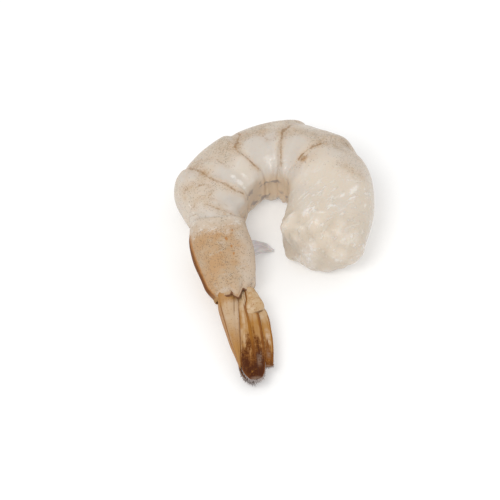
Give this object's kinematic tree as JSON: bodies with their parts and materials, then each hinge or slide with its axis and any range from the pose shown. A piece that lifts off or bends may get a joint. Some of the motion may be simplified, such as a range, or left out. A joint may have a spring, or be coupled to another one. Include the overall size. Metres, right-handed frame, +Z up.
{
  "type": "raw tiger prawn",
  "caption": "A raw prawn, headed and peeled down to its last tail segment, curled on its side with its tail fan folded; a piece of seafood to cook or to serve",
  "frame": {"origin": "the middle of the bounding box's base, on the surface that the prawn lies on", "axes": "+Z is up, out of the prawn's right side; the tail fan points towards -Y, the curl opens towards -Y and the outside of the curl, the prawn's back, faces +Y and both sides in X"},
  "size_m": [0.0496, 0.0778, 0.018],
  "materials": {
    "flesh": "wet raw flesh, pale greyish cream and slightly translucent, with fine dark speckles and thin brown lines at the joints",
    "tail_shell": "thin wet shell, orange beige with fine dark speckles and a dark brown keel",
    "tail_fan": "thin horny shell, tan at the root and dark red brown towards the tips of the blades"
  },
  "bodies": {
    "root": {"flesh": "flesh", "tail_shell": "tail_shell", "telson": "tail_fan", "uropod_base_upper": "tail_fan", "uropod_base_lower": "tail_fan", "endopod_upper": "tail_fan", "endopod_lower": "tail_fan", "exopod_upper": "tail_fan", "exopod_lower": "tail_fan"}
  },
  "joints": []
}
